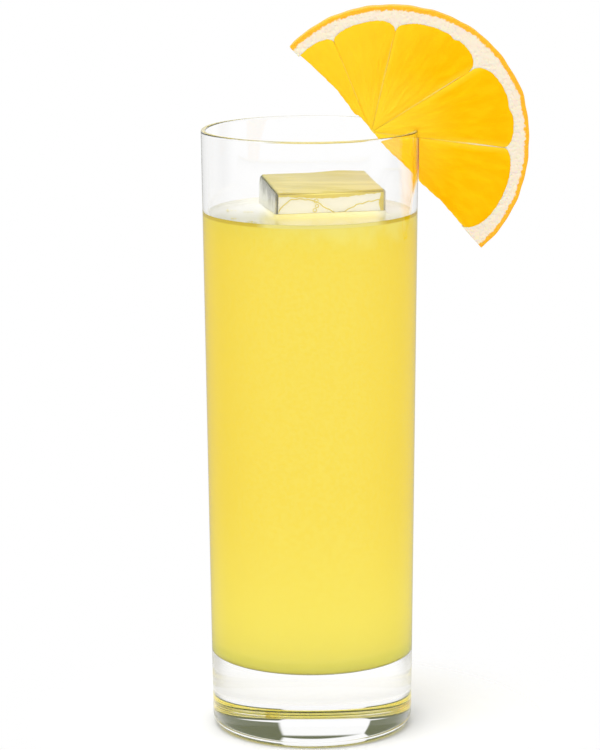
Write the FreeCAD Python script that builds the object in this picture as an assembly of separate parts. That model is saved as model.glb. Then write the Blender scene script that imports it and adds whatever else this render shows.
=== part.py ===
"""Tall glass of screwdriver cocktail with an ice cube and a half slice of orange on its rim.

Millimetres, +Z up. The origin is on the glass's axis, at the plane of its resting ring.
+X points at the place on the rim where the orange slice sits, and -Y is the side that the
slice's cut face is seen from. The pieces are the glass, the drink, the ice cube, the slice's
pith with its peel and membranes, and the pulp of each segment.
"""

import FreeCAD
import Part

import os
from math import cos, pi, radians, sin, sqrt, tan

from FreeCAD import Placement, Rotation, Vector

# Glass: a straight tumbler that narrows a little to a heavy base.
GLASS_HEIGHT = 169.5
RIM_RADIUS = 30.0
FOOT_RADIUS = 28.1
HEEL_RADIUS = 3.4
RIM_WALL = 1.3
LOW_WALL = 1.8
BASE_THICKNESS = 20.4
INNER_CORNER_RADIUS = 5.5
PUNT_RADIUS = 21.0
PUNT_DEPTH = 1.5

# Drink: filled to 23.5 mm below the rim, with a meniscus that climbs the wall.
DRINK_LEVEL = 146.0
MENISCUS_RISE = 0.9
MENISCUS_WIDTH = 2.0

# Ice cube: a tapered block from a tray, with edges softened by melting, and tipped towards -Y.
ICE_TOP_WIDTH = 31.0
ICE_TOP_DEPTH = 23.5
ICE_HEIGHT = 24.0
ICE_DRAFT_DEG = 2.0
ICE_EDGE_RADIUS = 1.1
ICE_TOP_CENTRE = Vector(3.4, 5.4, 154.0)
ICE_TIP_DEG = 5.5
ICE_TURN_DEG = 12.5

# Orange slice: a little more than half a wheel, cut through near the core.
SLICE_RADIUS = 38.0
SLICE_THICKNESS = 5.6
SLICE_CENTRE_X = 22.4
SLICE_CENTRE_Z = 165.7
CUT_SLOPE_DEG = 46.6
CUT_OFFSET = 2.0
PEEL_WAVE = 0.33
PEEL_WAVES_PER_TURN = 4
PEEL_BUMP = 0.6
PEEL_BUMP_DEG = 113.0
PEEL_BUMP_SPREAD_DEG = 8.0
CORE_ALONG = -5.9
CORE_RADIUS = 1.0
MEMBRANE_THICKNESS = 0.5
MEMBRANE_ROOT = 2.5
LOBE_SQUARENESS = 2.7
SLOT_CLEARANCE = 0.15

# Each pulp segment: start and end angle about the wheel's centre from the slice's upper tip,
# the radius at its top, and the radii of the notches at its start and end.
SEGMENTS = [
    (-24.0, 14.0, 34.7, 30.0, 31.8),
    (14.0, 45.5, 33.9, 31.8, 30.8),
    (45.5, 91.0, 33.7, 30.8, 29.2),
    (91.0, 136.0, 34.2, 29.2, 31.2),
    (136.0, 185.0, 34.0, 31.2, 26.5),
]


# ---------------------------------------------------------------- outlines in two dimensions

def wall_radius(height):
    """Outer radius of the glass at a height: a straight line from the foot to the rim."""
    return FOOT_RADIUS + (RIM_RADIUS - FOOT_RADIUS) * height / GLASS_HEIGHT


def bore_radius(height):
    """Inner radius of the glass at a height: its wall thins evenly up to the rim."""
    share = (height - BASE_THICKNESS) / (GLASS_HEIGHT - BASE_THICKNESS)
    return wall_radius(height) - (LOW_WALL + (RIM_WALL - LOW_WALL) * share)


def at(radius, height):
    """Point of a turned profile, in the XZ plane."""
    return Vector(radius, 0, height)


def rounded_corner(before, corner, after, radius):
    """Arc of a radius that meets both sides of a corner, with its first and last point."""
    back = (before - corner).normalize()
    ahead = (after - corner).normalize()
    half_angle = back.getAngle(ahead) / 2
    reach = radius * cos(half_angle) / sin(half_angle)
    middle = (back + ahead).normalize()
    depth = radius / sin(half_angle) - radius
    first = corner + back * reach
    last = corner + ahead * reach
    arc = Part.Arc(first, corner + middle * depth, last)
    return arc, first, last


def line(start, end):
    """Straight edge between two points."""
    return Part.LineSegment(start, end).toShape()


def turned(edges):
    """Solid made by turning a closed profile about the glass's axis."""
    profile = Part.Face(Part.Wire(edges))
    return profile.revolve(Vector(0, 0, 0), Vector(0, 0, 1), 360)


# ---------------------------------------------------------------- glass and drink

def bore_floor():
    """Edges from the axis along the bore's floor and round its corner, and where they end."""
    centre = at(0, BASE_THICKNESS)
    corner = at(bore_radius(BASE_THICKNESS), BASE_THICKNESS)
    above = at(bore_radius(GLASS_HEIGHT), GLASS_HEIGHT)
    arc, first, last = rounded_corner(centre, corner, above, INNER_CORNER_RADIUS)
    return [line(centre, first), arc.toShape()], last


def make_glass():
    """Tumbler with a fire-polished lip, a rounded heel and a shallow punt under its base."""
    punt_top = at(0, PUNT_DEPTH)
    punt_edge = at(PUNT_RADIUS, 0)
    cap_radius = (PUNT_RADIUS**2 + PUNT_DEPTH**2) / (2 * PUNT_DEPTH)
    half_way = PUNT_RADIUS / 2
    sag = PUNT_DEPTH - cap_radius + sqrt(cap_radius**2 - half_way**2)
    punt = Part.Arc(punt_top, at(half_way, sag), punt_edge)

    foot = at(FOOT_RADIUS, 0)
    lip_radius = RIM_WALL / 2
    lip_base = GLASS_HEIGHT - lip_radius
    outer_top = at(wall_radius(lip_base), lip_base)
    inner_top = at(bore_radius(lip_base), lip_base)
    lip_crown = at((outer_top.x + inner_top.x) / 2, GLASS_HEIGHT)
    heel, heel_start, heel_end = rounded_corner(punt_edge, foot, outer_top, HEEL_RADIUS)
    lip = Part.Arc(outer_top, lip_crown, inner_top)

    floor_edges, corner_top = bore_floor()
    edges = [
        punt.toShape(),
        line(punt_edge, heel_start),
        heel.toShape(),
        line(heel_end, outer_top),
        lip.toShape(),
        line(inner_top, corner_top),
    ]
    edges += reversed(floor_edges)
    edges.append(line(at(0, BASE_THICKNESS), punt_top))
    return turned(edges)


def make_drink(ice):
    """Drink from the bore's floor up to its level, cut round the ice cube."""
    floor_edges, corner_top = bore_floor()
    edge_height = DRINK_LEVEL + MENISCUS_RISE
    wall_top = at(bore_radius(edge_height), edge_height)
    flat_edge = at(wall_top.x - MENISCUS_WIDTH, DRINK_LEVEL)
    hollow = at(wall_top.x - MENISCUS_WIDTH * 0.35, DRINK_LEVEL + MENISCUS_RISE * 0.25)
    meniscus = Part.Arc(wall_top, hollow, flat_edge)
    edges = floor_edges + [
        line(corner_top, wall_top),
        meniscus.toShape(),
        line(flat_edge, at(0, DRINK_LEVEL)),
        line(at(0, DRINK_LEVEL), at(0, BASE_THICKNESS)),
    ]
    return turned(edges).cut(ice)


# ---------------------------------------------------------------- ice cube

def make_ice():
    """Tapered block with all its edges rounded, tipped and turned into place."""
    side_shift = ICE_HEIGHT * tan(radians(ICE_DRAFT_DEG))
    top_x = ICE_TOP_WIDTH / 2
    top_z = ICE_TOP_DEPTH / 2
    low_x = top_x + side_shift
    low_z = top_z + side_shift
    wedge = Part.makeWedge(
        -low_x, 0, -low_z, -top_z, -top_x, low_x, ICE_HEIGHT, low_z, top_z, top_x
    )
    block = wedge.makeFillet(ICE_EDGE_RADIUS, wedge.Edges)
    upright = Placement(Vector(0, 0, -ICE_HEIGHT), Rotation(Vector(1, 0, 0), 90))
    tip = Rotation(Vector(1, 0, 0), ICE_TIP_DEG)
    turn = Rotation(Vector(0, 0, 1), ICE_TURN_DEG)
    block.Placement = Placement(ICE_TOP_CENTRE, turn.multiply(tip)).multiply(upright)
    return block


# ---------------------------------------------------------------- orange slice

def on_slice(along, out):
    """Point on the slice's front face: along the cut edge, and out from the wheel's centre."""
    slope = radians(CUT_SLOPE_DEG)
    x = SLICE_CENTRE_X + along * cos(slope) + out * sin(slope)
    z = SLICE_CENTRE_Z - along * sin(slope) + out * cos(slope)
    return Vector(x, -SLICE_THICKNESS / 2, z)


def on_wheel(radius, angle_deg):
    """Point of the wheel at a radius and an angle from the slice's upper tip."""
    angle = radians(angle_deg)
    return on_slice(-radius * cos(angle), radius * sin(angle))


def peel_radius(angle_deg):
    """The wheel's outer radius: a circle with four low waves and one bump."""
    wave = PEEL_WAVE * cos(radians(angle_deg) * PEEL_WAVES_PER_TURN)
    off_bump = (angle_deg - PEEL_BUMP_DEG) / PEEL_BUMP_SPREAD_DEG
    return SLICE_RADIUS + wave + PEEL_BUMP / (1 + off_bump**2)


def lobe_radius(angle_deg, segment):
    """A segment's outer radius: a superellipse that rises from each notch to a flat top."""
    start, end, top, start_notch, end_notch = segment
    share = (angle_deg - start) / (end - start)
    notch = start_notch + (end_notch - start_notch) * share
    fall = abs(2 * share - 1) ** LOBE_SQUARENESS
    return notch + (top - notch) * (1 - fall) ** (1 / LOBE_SQUARENESS)


def curve_through(points):
    """Smooth edge through a row of points."""
    spline = Part.BSplineCurve()
    spline.interpolate(points)
    return spline.toShape()


def slab(edges):
    """Solid of a closed outline on the slice's front face, as thick as the slice."""
    return Part.Face(Part.Wire(edges)).extrude(Vector(0, SLICE_THICKNESS, 0))


def make_wheel_part():
    """The slice's whole outline: the peel's arc closed by the straight cut."""
    tip_angle = 180 / pi * CUT_OFFSET / SLICE_RADIUS
    steps = 24
    sweep = 180 + 2 * tip_angle
    angles = [-tip_angle + sweep * index / steps for index in range(steps + 1)]
    points = [on_wheel(peel_radius(angle), angle) for angle in angles]
    return slab([curve_through(points), line(points[-1], points[0])])


def make_segment(segment):
    """One segment before it is trimmed: two straight sides from the core and a lobed end."""
    start, end = segment[:2]
    steps = 12
    angles = [
        start + (end - start) * (1 - cos(pi * index / steps)) / 2
        for index in range(steps + 1)
    ]
    points = [on_wheel(lobe_radius(angle, segment), angle) for angle in angles]
    core = on_slice(CORE_ALONG, -CUT_OFFSET)
    return slab([line(core, points[0]), curve_through(points), line(points[-1], core)])


def make_membranes():
    """Skins between the segments: thin strips from the core to the notches, and the core."""
    core = on_slice(CORE_ALONG, -CUT_OFFSET)
    axis = Vector(0, 1, 0)
    strips = [Part.makeCylinder(CORE_RADIUS, SLICE_THICKNESS, core, axis)]
    for angle_deg, notch_radius in [(segment[1], segment[4]) for segment in SEGMENTS[:-1]]:
        notch = on_wheel(notch_radius + MEMBRANE_ROOT, angle_deg)
        side = (notch - core).normalize().cross(axis) * (MEMBRANE_THICKNESS / 2)
        corners = [core + side, notch + side, notch - side, core - side]
        edges = [line(corners[index - 1], corners[index]) for index in range(4)]
        strips.append(slab(edges))
    return strips


def make_slot():
    """Room for the glass's wall: a ring up to the lip's crown, with a little side clearance."""
    bottom = DRINK_LEVEL
    height = GLASS_HEIGHT - bottom
    base = Vector(0, 0, bottom)
    outer = Part.makeCylinder(RIM_RADIUS + SLOT_CLEARANCE, height, base)
    inner = Part.makeCylinder(bore_radius(bottom) - SLOT_CLEARANCE, height, base)
    return outer.cut(inner)


def largest(shape):
    """The largest of a shape's solids."""
    return max(shape.Solids, key=lambda solid: solid.Volume)


def make_orange():
    """Pith with peel and membranes, and each segment's pulp, by node name."""
    wheel_part = make_wheel_part()
    membranes = make_membranes()
    slot = make_slot()
    pulps = [
        largest(make_segment(segment).common(wheel_part).cut(membranes))
        for segment in SEGMENTS
    ]
    pieces = {"orange_pith": wheel_part.cut(pulps).cut(slot)}
    for number, pulp in enumerate(pulps, start=1):
        lumps = sorted(pulp.cut(slot).Solids, key=lambda lump: lump.CenterOfMass.x)
        names = [f"orange_pulp_{number}"]
        if len(lumps) > 1:
            names = [f"orange_pulp_{number}_inside", f"orange_pulp_{number}_outside"]
        pieces.update(zip(names, lumps))
    return pieces


# ---------------------------------------------------------------- the whole

def main():
    """Make every piece, check that it is one sound solid, and write it."""
    ice = make_ice()
    pieces = {"glass": make_glass(), "drink": make_drink(ice), "ice_cube": ice}
    pieces.update(make_orange())
    os.makedirs("parts", exist_ok=True)
    for name, shape in pieces.items():
        solid = shape.Solids[0]
        box = solid.BoundBox
        print(
            f"{name}: {len(shape.Solids)} solid, valid {solid.isValid()}, "
            f"{solid.Volume / 1000:.2f} ml, X {box.XMin:.2f}..{box.XMax:.2f}, "
            f"Y {box.YMin:.2f}..{box.YMax:.2f}, Z {box.ZMin:.2f}..{box.ZMax:.2f}"
        )
        solid.exportStep(f"parts/{name}.step")


main()
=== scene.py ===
# %% [markdown]
# # A screwdriver cocktail in a tall glass
# This lesson dresses the parts of a tall drink: a clear tumbler with a heavy base, a cloudy orange
# drink, a melting ice cube and a half slice of orange on the rim. Each is then replaced by a finer
# surface of the same size, worked out with numpy, because clear glass and cut fruit show every
# small curve.

from math import cos, pi, radians, sin, tan

import bpy
import numpy as np
from mathutils import Matrix, Vector


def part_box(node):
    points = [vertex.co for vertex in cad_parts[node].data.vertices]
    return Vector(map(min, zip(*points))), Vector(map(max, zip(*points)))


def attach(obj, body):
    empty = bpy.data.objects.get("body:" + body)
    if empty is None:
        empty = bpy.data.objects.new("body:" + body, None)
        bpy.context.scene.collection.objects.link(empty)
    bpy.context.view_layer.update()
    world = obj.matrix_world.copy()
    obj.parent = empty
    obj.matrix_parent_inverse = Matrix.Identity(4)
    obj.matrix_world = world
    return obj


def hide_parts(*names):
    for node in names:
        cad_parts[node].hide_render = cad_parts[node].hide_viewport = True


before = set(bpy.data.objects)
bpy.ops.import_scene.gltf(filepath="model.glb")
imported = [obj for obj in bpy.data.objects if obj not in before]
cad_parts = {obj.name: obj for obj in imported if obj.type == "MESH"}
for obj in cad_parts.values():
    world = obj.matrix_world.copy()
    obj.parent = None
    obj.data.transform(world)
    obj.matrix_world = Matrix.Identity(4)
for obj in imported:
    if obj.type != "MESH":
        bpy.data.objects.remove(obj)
scene = bpy.context.scene
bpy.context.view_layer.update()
MM = 0.001


def box_mm(node):
    """Lowest and highest corner of a measured part, in millimetres."""
    return [np.array(corner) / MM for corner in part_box(node)]


print("parts:", sorted(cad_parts))

# %% [markdown]
# ## From arrays to a mesh
# Every piece here is a stack of closed rings of points, shut by one point at each end: a turned
# glass, a block of ice and a flat segment of fruit can all be described in that way. One helper
# joins the rings with four-sided faces and the ends with triangles. It also prints the volume,
# which is positive only when the faces point outwards.

# %% Closed skins from rings of points
def new_piece(name, points, faces, attributes):
    """Smooth mesh piece from points in millimetres, with named values kept at its points."""
    mesh = bpy.data.meshes.new(name)
    mesh.from_pydata((points * MM).tolist(), [], faces)
    mesh.shade_smooth()
    for key, values in attributes.items():
        kind, field = ("FLOAT_VECTOR", "vector") if values.ndim == 2 else ("FLOAT", "value")
        kept = mesh.attributes.new(key, kind, "POINT")
        kept.data.foreach_set(field, values.astype(np.float32).ravel())
    mesh.update()
    piece = bpy.data.objects.new(name, mesh)
    scene.collection.objects.link(piece)
    return piece


def skin_faces(rings, start):
    """Faces of a skin of rings: a fan from the first point, quads between rings, a last fan."""
    count, around = rings.shape[:2]
    here = start + 1 + np.arange(count * around).reshape(count, around)
    after = np.roll(here, -1, axis=1)
    quads = np.stack([here[:-1], after[:-1], after[1:], here[1:]], axis=-1).reshape(-1, 4)
    first = np.full(around, start)
    last = np.full(around, start + 1 + count * around)
    fan = np.stack([first, after[0], here[0]], axis=-1)
    end_fan = np.stack([here[-1], after[-1], last], axis=-1)
    return quads.tolist() + fan.tolist() + end_fan.tolist()


def in_order(rows):
    """Points or values of a skin: the mean of the first ring, all the rings, that of the last."""
    first = rows[0].mean(axis=0, keepdims=True)
    last = rows[-1].mean(axis=0, keepdims=True)
    return np.concatenate([first, rows.reshape(-1, *rows.shape[2:]), last])


def enclosed_ml(points, faces):
    """Volume inside a skin: the sum of the signed tetrahedra from the origin to each triangle."""
    total = 0.0
    for size in (3, 4):
        corners = np.array([face for face in faces if len(face) == size])
        for second in range(1, size - 1):
            a, b, c = (points[corners[:, k]] for k in (0, second, second + 1))
            total += np.einsum("ij,ij->i", a, np.cross(b, c)).sum() / 6
    return total / 1000


def skin(name, *parts):
    """Piece from closed skins; a part is its rings, shaped (rings, points around, 3), and a
    dictionary of the values kept at its points."""
    points, faces, kept = [], [], {}
    for rings, values in parts:
        faces += skin_faces(rings, sum(len(block) for block in points))
        points.append(in_order(rings))
        for key, value in values.items():
            kept.setdefault(key, []).append(in_order(value))
    points = np.vstack(points)
    print(f"{name}: {len(faces)} faces, {enclosed_ml(points, faces):.2f} ml")
    return new_piece(name, points, faces, {key: np.concatenate(kept[key]) for key in kept})


def place(piece, material, slot, *nodes):
    """A finished piece rides on the one body and stands for its measured parts."""
    piece.data.materials.append(material)
    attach(piece, "root")
    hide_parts(*nodes)


# %% [markdown]
# ## Finishes
# The materials come from one small helper that sets numbers straight on the shader's own sockets.
# A pattern is added afterwards with a few nodes where the real stuff has one. Glass, ice and the
# film of a bubble are all clear, and differ only in how much they bend light.

# %% Helpers for materials
WHITE = (1.0, 1.0, 1.0, 1.0)


def new_finish(name, **sockets):
    """Principled material with the given socket values, its node tree and its shader."""
    material = bpy.data.materials.new(name)
    material.use_nodes = True
    shader = material.node_tree.nodes["Principled BSDF"]
    for socket, value in sockets.items():
        shader.inputs[socket.replace("_", " ")].default_value = value
    return material, material.node_tree, shader


def clear_finish(name, index, colour=WHITE):
    """Clear, polished material with an index of refraction."""
    numbers = {"Base_Color": colour, "Roughness": 0.0, "IOR": index, "Transmission_Weight": 1.0}
    return new_finish(name, **numbers)[0]


def add(tree, kind, values, **settings):
    """New node with its settings; an input takes a number, a colour or another node's socket."""
    made = tree.nodes.new("ShaderNode" + kind)
    for key, value in settings.items():
        setattr(made, key, value)
    for key, value in values.items():
        if isinstance(value, bpy.types.NodeSocket):
            tree.links.new(value, made.inputs[key])
        else:
            made.inputs[key].default_value = value
    return made


def object_place(tree):
    """Where a point lies on its object, in metres."""
    return add(tree, "TexCoord", {}).outputs["Object"]


def kept_value(tree, name, output="Fac"):
    """Values that a mesh keeps at its points under a name."""
    return add(tree, "Attribute", {}, attribute_name=name).outputs[output]


def mix_colours(tree, factor, first, second):
    """Colour that goes from the first to the second as the factor goes from 0 to 1."""
    return add(tree, "Mix", {0: factor, 6: first, 7: second}, data_type="RGBA").outputs[2]


def remap(tree, source, low, high, to_low=0.0, to_high=1.0, kind="SMOOTHSTEP"):
    """Number that runs from one value to another while its source runs from low to high."""
    values = {0: source, 1: low, 2: high, 3: to_low, 4: to_high}
    return add(tree, "MapRange", values, interpolation_type=kind).outputs[0]


def calculate(tree, operation, first, *others):
    """Result of an operation on numbers or sockets; more than two are taken in one by one."""
    if not others:
        return add(tree, "Math", {0: first}, operation=operation).outputs[0]
    for other in others:
        first = add(tree, "Math", {0: first, 1: other}, operation=operation).outputs[0]
    return first


# %% [markdown]
# ## The glass
# A tumbler is blown or pressed in a round mould, so its whole form is one profile turned about the
# axis. It could be made with a Screw modifier, but a turned array gives exact control of the
# rounded lip, the heel and the shallow hollow (the punt) under the base. Straight runs get a point
# close to each end, so that the smooth shading of a bend doesn't spread along the wall, where it
# would act as a lens.

# %% Profile helpers
WALL_AROUND = 240


def arc_between(start, centre, end, steps):
    """Points of a circular arc about a centre: the two radii turned evenly into each other."""
    first, last = start - centre, end - centre
    turn = np.arctan2(first[0] * last[1] - first[1] * last[0], first @ last)
    angle = np.linspace(0, turn, steps)[:, None]
    side = np.array([-first[1], first[0]])
    return centre + np.cos(angle) * first + np.sin(angle) * side


def rounded_corner(before, corner, after, radius, steps=18):
    """Arc of a radius that touches both sides of a corner."""
    back = (before - corner) / np.linalg.norm(before - corner)
    ahead = (after - corner) / np.linalg.norm(after - corner)
    half = np.arccos(back @ ahead) / 2
    middle = (back + ahead) / np.linalg.norm(back + ahead)
    centre = corner + middle * radius / np.sin(half)
    reach = radius / np.tan(half)
    return arc_between(corner + back * reach, centre, corner + ahead * reach, steps)


def straight(start, end, inner=6, hold=0.25):
    """Points between two ends of a straight run, with one held close to each end."""
    length = np.linalg.norm(end - start)
    shares = np.r_[hold / length, np.linspace(0, 1, inner + 2)[1:-1], 1 - hold / length]
    return start + (end - start) * shares[:, None]


def turned(profile):
    """Rings of a profile of (radius, height) rows turned about the glass's axis."""
    angle = np.linspace(0, 2 * pi, WALL_AROUND, endpoint=False)
    radius = profile[:, 0][:, None]
    height = np.broadcast_to(profile[:, 1][:, None], (len(profile), WALL_AROUND))
    return np.stack([radius * np.cos(angle), radius * np.sin(angle), height], axis=-1)


# %% The tumbler's profile
drink_low, drink_high = box_mm("drink")
GLASS_HEIGHT = box_mm("glass")[1][2]
RIM_RADIUS = 30.0
FOOT_RADIUS = 28.1
HEEL_RADIUS = 3.4
RIM_WALL = 1.3
LOW_WALL = 1.8
BASE_THICKNESS = drink_low[2]
INNER_CORNER_RADIUS = 5.5
PUNT_RADIUS = 21.0
PUNT_DEPTH = 1.5
POLE = 0.02


def wall_radius(height):
    """Outer radius: a straight line from the foot to the rim."""
    return FOOT_RADIUS + (RIM_RADIUS - FOOT_RADIUS) * height / GLASS_HEIGHT


def bore_radius(height):
    """Inner radius: the wall thins evenly from the base up to the rim."""
    share = (height - BASE_THICKNESS) / (GLASS_HEIGHT - BASE_THICKNESS)
    return wall_radius(height) - (LOW_WALL + (RIM_WALL - LOW_WALL) * share)


def at(radius, height):
    """Point of a profile."""
    return np.array([radius, height], float)


def bore_floor(reach=0.0):
    """Profile from the axis along the bore's floor and round its corner, let out by a reach."""
    low = BASE_THICKNESS - reach
    corner = at(bore_radius(BASE_THICKNESS) + reach, low)
    above = at(bore_radius(GLASS_HEIGHT) + reach, GLASS_HEIGHT)
    bend = rounded_corner(at(0, low), corner, above, INNER_CORNER_RADIUS)
    return np.vstack([at(POLE, low), straight(at(POLE, low), bend[0]), bend])


def tumbler_profile():
    """Closed profile: punt, resting ring, heel, wall, lip, bore, floor."""
    across = np.linspace(POLE, PUNT_RADIUS, 30)
    cap = (PUNT_RADIUS**2 + PUNT_DEPTH**2) / (2 * PUNT_DEPTH)
    punt = np.stack([across, PUNT_DEPTH - cap + np.sqrt(cap**2 - across**2)], axis=-1)
    lip = RIM_WALL / 2
    outer_top = at(wall_radius(GLASS_HEIGHT - lip), GLASS_HEIGHT - lip)
    inner_top = at(bore_radius(GLASS_HEIGHT - lip), GLASS_HEIGHT - lip)
    heel = rounded_corner(punt[-1], at(FOOT_RADIUS, 0), outer_top, HEEL_RADIUS)
    crown = arc_between(outer_top, (outer_top + inner_top) / 2, inner_top, 17)
    floor = bore_floor()
    return np.vstack(
        [
            punt,
            straight(punt[-1], heel[0], 2),
            heel,
            straight(heel[-1], outer_top, 24),
            crown,
            straight(inner_top, floor[-1], 24),
            floor[::-1],
        ]
    )


# %% Clear soda-lime glass
GLASS_INDEX = 1.5
tumbler = skin("glass_tumbler", (turned(tumbler_profile()), {}))
place(tumbler, clear_finish("clear_soda_lime_glass", GLASS_INDEX), "glass", "glass")

# %% [markdown]
# ## The ice cube
# A cube from a tray tapers a little, and melting rounds its edges and hollows its faces. A cube
# with a Bevel modifier would stay too regular. Here each ring is a rounded rectangle, its sides
# are pushed in and out by a long wave, and ripples like the ones running water leaves cross them.
# The block is then tipped and turned into its place in the drink.

# %% The block as a function of height and direction
ICE_TOP_WIDTH = 31.0
ICE_TOP_DEPTH = 23.5
ICE_HEIGHT = 24.0
ICE_DRAFT_DEG = 2.0
ICE_EDGE_RADIUS = 1.1
ICE_TOP_CENTRE = np.array([3.4, 5.4, 154.0])
ICE_TIP_DEG = 5.5
ICE_TURN_DEG = 12.5
ICE_INDEX = 1.31
SIDE_STEPS = 44
CORNER_STEPS = 12
OUTLINE_POINTS = 4 * (CORNER_STEPS + SIDE_STEPS)
MIDDLE_SHARE = 0.02
EDGE_SHARE = 0.97


def rectangle_outline(half_width, half_depth, radius):
    """Rounded rectangle: four quarter circles about the corners of a smaller rectangle, with
    straight sides between them; gives the points and the outward directions."""
    sweep = np.linspace(0, pi / 2, CORNER_STEPS)
    angles = np.concatenate([sweep + quarter * pi / 2 for quarter in range(4)])
    quarter = np.repeat(np.arange(4), CORNER_STEPS)
    sign_x = np.array([1, -1, -1, 1])[quarter]
    sign_y = np.array([1, 1, -1, -1])[quarter]
    normals = np.stack([np.cos(angles), np.sin(angles)], axis=-1)
    centres = np.stack([sign_x * (half_width - radius), sign_y * (half_depth - radius)], axis=-1)
    corners = centres + normals * radius
    points, directions = [], []
    for side in range(4):
        run = slice(side * CORNER_STEPS, (side + 1) * CORNER_STEPS)
        start = corners[run][-1]
        end = corners[((side + 1) % 4) * CORNER_STEPS]
        share = np.linspace(0, 1, SIDE_STEPS + 2)[1:-1, None]
        points += [corners[run], start + (end - start) * share]
        directions += [normals[run], np.repeat(normals[run][-1:], SIDE_STEPS, axis=0)]
    return np.vstack(points), np.vstack(directions)


def melt(points, depth):
    """How far melting moves a side: a long wave round the block and a finer ripple across it."""
    x, y = points[..., 0], points[..., 1]
    long_wave = 0.16 * np.sin(0.21 * x + 0.6) * np.cos(0.17 * y + 0.3 * depth)
    ripple = 0.05 * np.sin(0.75 * x + 0.9 * np.sin(0.5 * depth)) * np.cos(0.8 * depth + 0.4 * y)
    return long_wave + ripple


def ice_ring(depth, inset=0.0):
    """One ring of the block at a depth under its top, drawn in by an inset at a rounded edge."""
    draft = depth * tan(radians(ICE_DRAFT_DEG))
    half_width = ICE_TOP_WIDTH / 2 + draft
    half_depth = ICE_TOP_DEPTH / 2 + draft
    outline, normals = rectangle_outline(half_width, half_depth, ICE_EDGE_RADIUS)
    return outline + normals * (melt(outline, depth) - inset)[:, None]


def at_depth(ring, depth):
    """Flat ring set at a depth under the block's top; the depth may differ round the ring."""
    return np.column_stack([ring, np.broadcast_to(-np.asarray(depth, float), len(ring))])


def into_place(points):
    """Turns points of the upright block, with its top's centre at the origin, into the drink."""
    tip, turn = radians(ICE_TIP_DEG), radians(ICE_TURN_DEG)
    about_x = np.array([[1, 0, 0], [0, cos(tip), -sin(tip)], [0, sin(tip), cos(tip)]])
    about_z = np.array([[cos(turn), -sin(turn), 0], [sin(turn), cos(turn), 0], [0, 0, 1]])
    return points @ (about_z @ about_x).T + ICE_TOP_CENTRE


def crown(ring, depth=0.0):
    """Height of the top face: it droops at the front edge's middle and humps at the back."""
    x, y = ring[..., 0], ring[..., 1]
    front = np.clip(-y / (ICE_TOP_DEPTH / 2), 0, 1)
    droop = -0.9 * front**2 * np.exp(-((x + 1.0) / 9.0) ** 2)
    hump = 0.5 * np.exp(-((x - 7.0) / 5.0) ** 2) * np.clip(y / (ICE_TOP_DEPTH / 2), 0, 1) ** 2
    ripple = 0.012 * np.sin(0.9 * x + 0.5 * y) * np.cos(0.7 * y)
    return -depth + droop + hump + ripple


def ice_rings():
    """All rings from the middle of the bottom, up the sides, to the middle of the top."""
    bend = np.linspace(0, pi / 2, 9)
    radius = ICE_EDGE_RADIUS
    rings = []
    for scale in np.linspace(MIDDLE_SHARE, EDGE_SHARE, 10):
        rings.append(at_depth(ice_ring(ICE_HEIGHT, radius) * scale, ICE_HEIGHT))
    for angle in bend:
        depth = ICE_HEIGHT - radius * (1 - cos(angle))
        rings.append(at_depth(ice_ring(depth, radius * (1 - sin(angle))), depth))
    for depth in np.linspace(ICE_HEIGHT - radius, radius, 46)[1:-1]:
        rings.append(at_depth(ice_ring(depth), depth))
    for angle in bend:
        depth = radius * (1 - sin(angle))
        ring = ice_ring(depth, radius * (1 - cos(angle)))
        rings.append(np.column_stack([ring, -depth + sin(angle) * crown(ring)]))
    for scale in np.linspace(EDGE_SHARE, MIDDLE_SHARE, 34):
        ring = ice_ring(0.0, radius) * scale
        rings.append(np.column_stack([ring, crown(ring)]))
    return into_place(np.array(rings))


ice = skin("ice_block", (ice_rings(), {}))
place(ice, clear_finish("clear_melting_ice", ICE_INDEX), "ice", "ice_cube")

# %% [markdown]
# ## Frost in the ice
# The faces that stand out of the drink look white, because fine trapped air lies close under them,
# with thin wavy cracks where the drink has seeped in. A second material on the block would lose the
# wet, clear skin over the frost, so each frosted face is a thin sheet of its own, 0.15 mm inside
# the ice. The front sheet has its cracks as grooves and an upper edge that has melted clear; the
# other sheets are plainer. The middle of a tray cube freezes last and traps the most air, so a
# cloudy heart fills it, which also hides the block's far edges.

# %% The sheet under the front, its cracks and its melted edge
FROST_INSET = 0.15
FROST_THICKNESS = 0.5
FROST_EDGE = 0.7
FROST_DEPTH = 10.0
CRACK_ALONG = np.array([-15.5, -13.3, -11.1, -8.2, -4.5, -1.2, 1.5, 3.8, 7.0, 10.5, 14.2, 15.5])
CRACK_DEPTH = np.array([6.2, 3.4, 1.9, 1.9, 2.6, 4.9, 6.2, 5.8, 4.1, 3.3, 2.8, 1.6])
CRACK_WIDTH = 0.17
GROOVE_DEPTH = 0.2
MELT_FOLLOWED = 0.6
SAG_ALONG = np.array([-15.5, -10.0, -5.0, 0.0, 5.0, 10.0, 15.5])
SAG_DEPTH = np.array([1.0, 1.4, 1.8, 1.95, 1.65, 1.2, 0.8])
CLEAR_END = 13.5
AIR_RINGS = ((-4.3, 2.6, 0.55), (-4.0, 4.0, 0.45), (-4.6, 5.2, 0.5))


def crack_nearness(along, depth):
    """1 on the wavy crack, 0.8 on the little rings of trapped air, 0 away from them."""
    line = np.interp(along, CRACK_ALONG, CRACK_DEPTH)
    line = line + 0.10 * np.sin(2.3 * along) + 0.03 * np.sin(5.1 * along + 1.0)
    slope = np.gradient(line[:, 0], along[:, 0])[:, None]
    away = np.abs(depth - line) / np.sqrt(1 + slope**2)
    near = np.exp(-((away / CRACK_WIDTH) ** 2))
    for middle, low, radius in AIR_RINGS:
        away = np.abs(np.hypot(along - middle, depth - low) - radius)
        near = np.maximum(near, 0.8 * np.exp(-((away / CRACK_WIDTH) ** 2)))
    return near


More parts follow.
